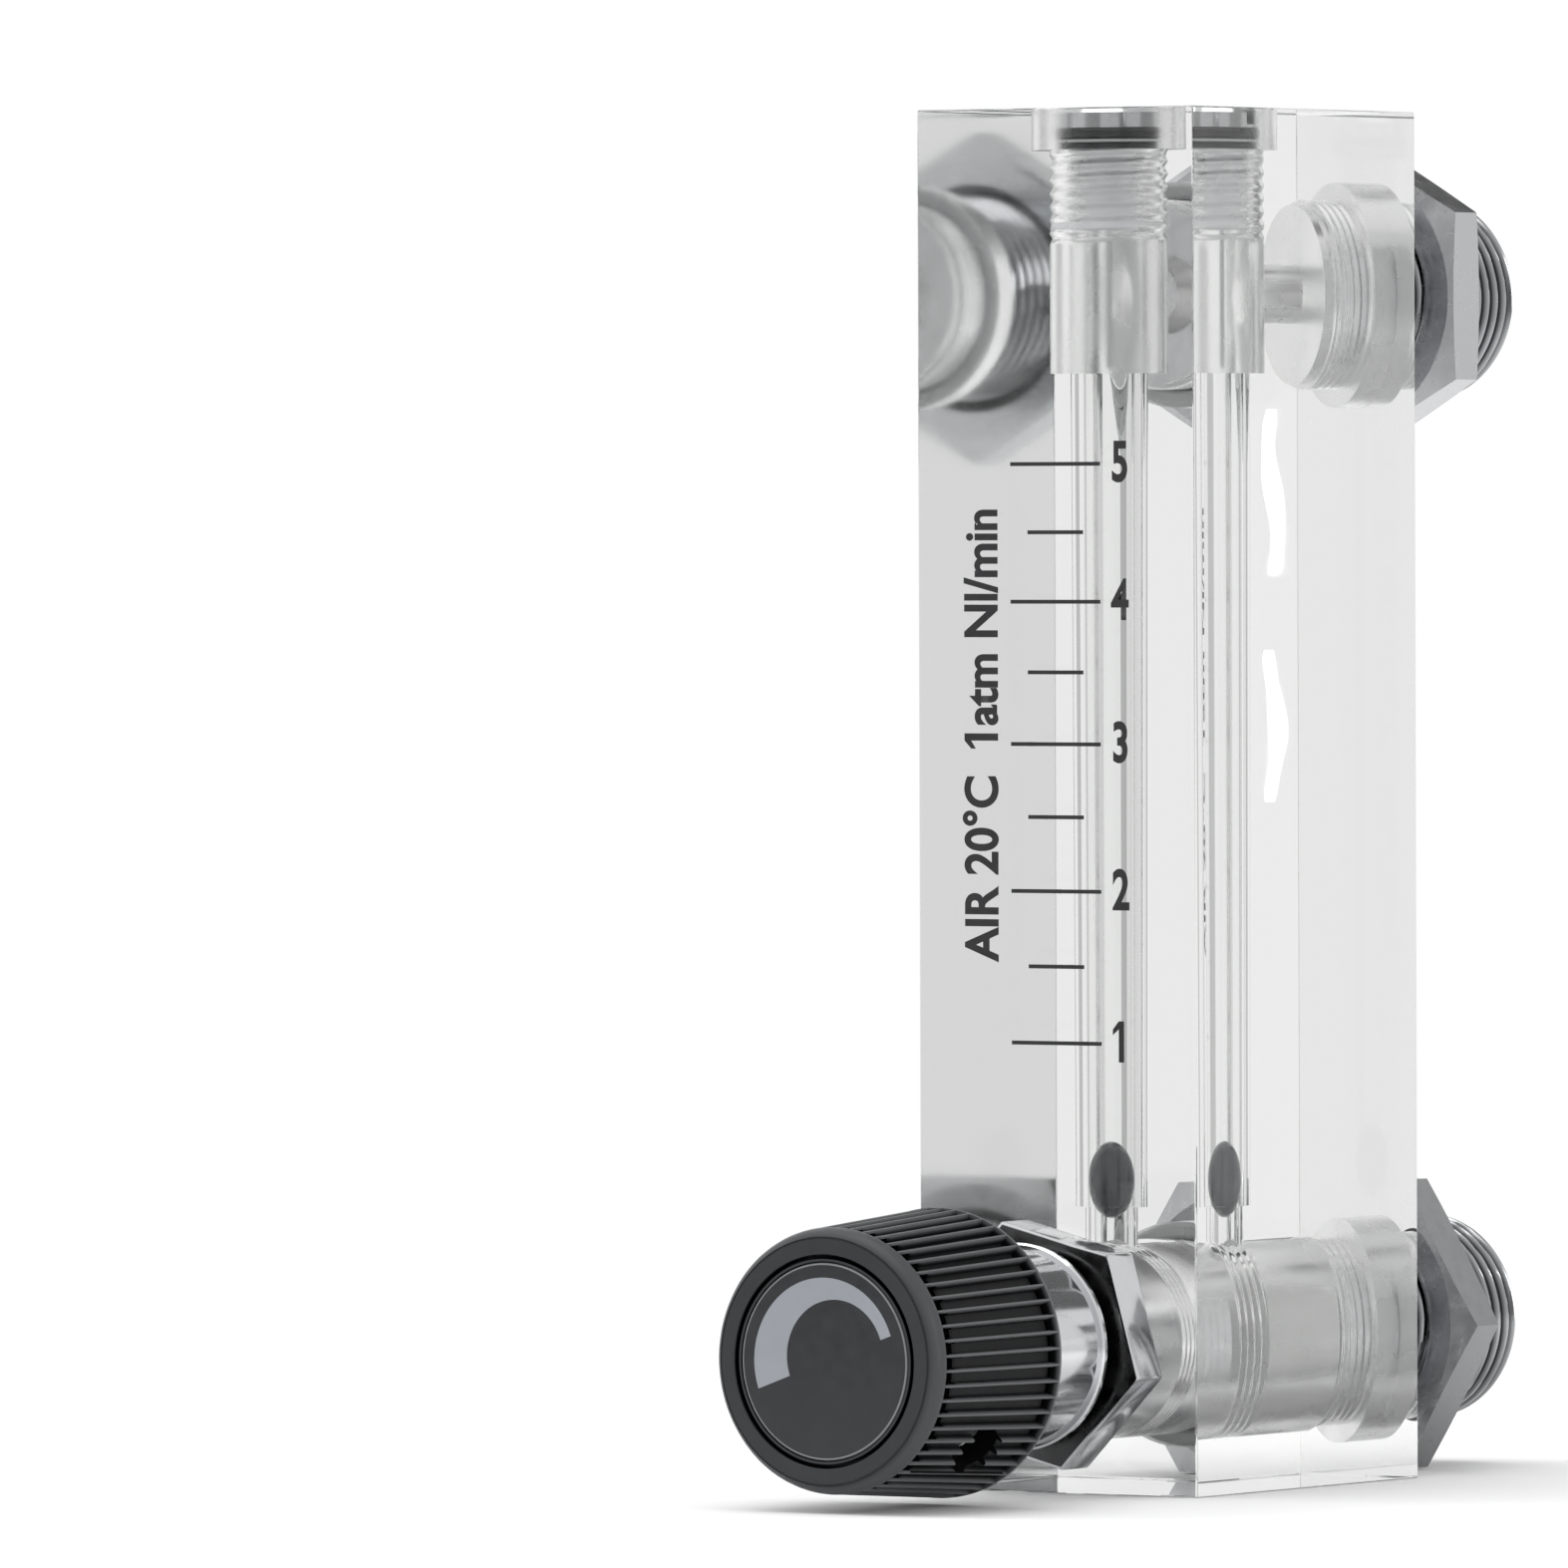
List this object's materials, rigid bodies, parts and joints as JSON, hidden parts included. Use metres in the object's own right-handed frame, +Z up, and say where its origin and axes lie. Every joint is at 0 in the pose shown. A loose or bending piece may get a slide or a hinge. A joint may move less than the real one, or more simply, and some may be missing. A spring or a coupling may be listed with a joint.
{
  "type": "panel rotameter",
  "caption": "Clear acrylic panel rotameter: tapered tube with a ball float, a needle valve with a ribbed knob, and threaded rear ports with panel nuts.",
  "frame": {"origin": "centre of the clear block's bottom face", "axes": "+Z up along the tube, the scale and the valve knob face -Y, the rear ports leave along +Y, +X to the right seen from the front"},
  "size_m": [0.026, 0.0871, 0.1055],
  "materials": {
    "acrylic": "polished clear acrylic",
    "ink": "printed black lines",
    "chrome": "bright chrome plate on brass",
    "steel": "turned stainless steel",
    "float_grey": "smooth dark grey ball",
    "black_rubber": "black seal ring",
    "pale_rubber": "pale silicone seal ring",
    "seat_white": "milky turned plastic",
    "knob_black": "moulded dark grey plastic, fine ribs",
    "label": "dark disc with a pale printed arc"
  },
  "bodies": {
    "meter": {"meter_block": "acrylic", "scale_marks": "ink", "top_plug": "chrome", "top_plug_oring": "black_rubber", "float_stop": "steel", "upper_port": "chrome", "upper_port_oring": "pale_rubber", "upper_nut": "chrome", "lower_port": "chrome", "lower_port_oring": "pale_rubber", "lower_nut": "chrome", "valve_bonnet": "chrome", "bonnet_seal": "pale_rubber", "valve_seat": "seat_white"},
    "float": {"float_ball": "float_grey"},
    "stem_ring": {"stem_oring": "black_rubber"},
    "handle": {"valve_stem": "steel", "knob": "knob_black", "knob_label": "label", "set_screw": "steel"}
  },
  "joints": [
    {"name": "float_rise", "type": "slide", "parent": "meter", "child": "float", "axis": [0, 0, 1], "range_m": [0, 0.0591]},
    {"name": "stem_travel", "type": "slide", "parent": "meter", "child": "stem_ring", "axis": [0, -1, 0], "range_m": [0, 0.003]},
    {"name": "valve_turn", "type": "hinge", "parent": "stem_ring", "child": "handle", "pos_m": [0, -0.016, 0.0114], "axis": [0, -1, 0], "range_deg": [0, 2160]}
  ],
  "couplings": [
    {"joint": "stem_travel", "follows": "valve_turn", "m_per_rad": 0.00007957}
  ]
}
